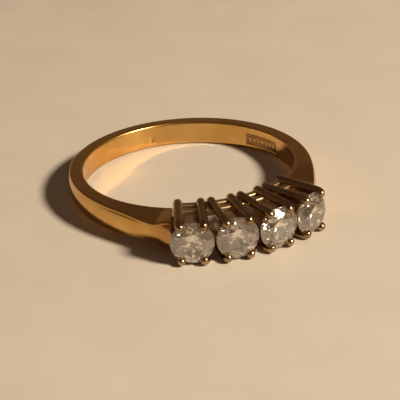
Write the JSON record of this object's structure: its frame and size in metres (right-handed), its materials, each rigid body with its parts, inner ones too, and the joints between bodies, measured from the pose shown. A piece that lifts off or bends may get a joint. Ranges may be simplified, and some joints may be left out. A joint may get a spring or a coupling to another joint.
{
  "type": "ring",
  "caption": "Finger ring with a flat-sided gold band and an open claw-set head that carries a row of round brilliants.",
  "frame": {"origin": "centre of the finger hole, on its axis and halfway across the band", "axes": "+Z along the finger, so the ring lies on its side; the head and its stones face -Y; +X completes the frame"},
  "size_m": [0.019, 0.0221, 0.0036],
  "materials": {
    "yellow_gold": "polished",
    "white_gold": "polished",
    "diamond": "polished"
  },
  "bodies": {
    "root": {"shank": "yellow_gold", "base_rail": "white_gold", "upper_rail": "white_gold", "collet_1": "white_gold", "collet_2": "white_gold", "collet_3": "white_gold", "collet_4": "white_gold", "stone_1": "diamond", "stone_2": "diamond", "stone_3": "diamond", "stone_4": "diamond", "claw_1_left_top": "white_gold", "claw_1_left_bottom": "white_gold", "claw_1_right_top": "white_gold", "claw_1_right_bottom": "white_gold", "claw_2_left_top": "white_gold", "claw_2_left_bottom": "white_gold", "claw_2_right_top": "white_gold", "claw_2_right_bottom": "white_gold", "claw_3_left_top": "white_gold", "claw_3_left_bottom": "white_gold", "claw_3_right_top": "white_gold", "claw_3_right_bottom": "white_gold", "claw_4_left_top": "white_gold", "claw_4_left_bottom": "white_gold", "claw_4_right_top": "white_gold", "claw_4_right_bottom": "white_gold"}
  },
  "joints": []
}
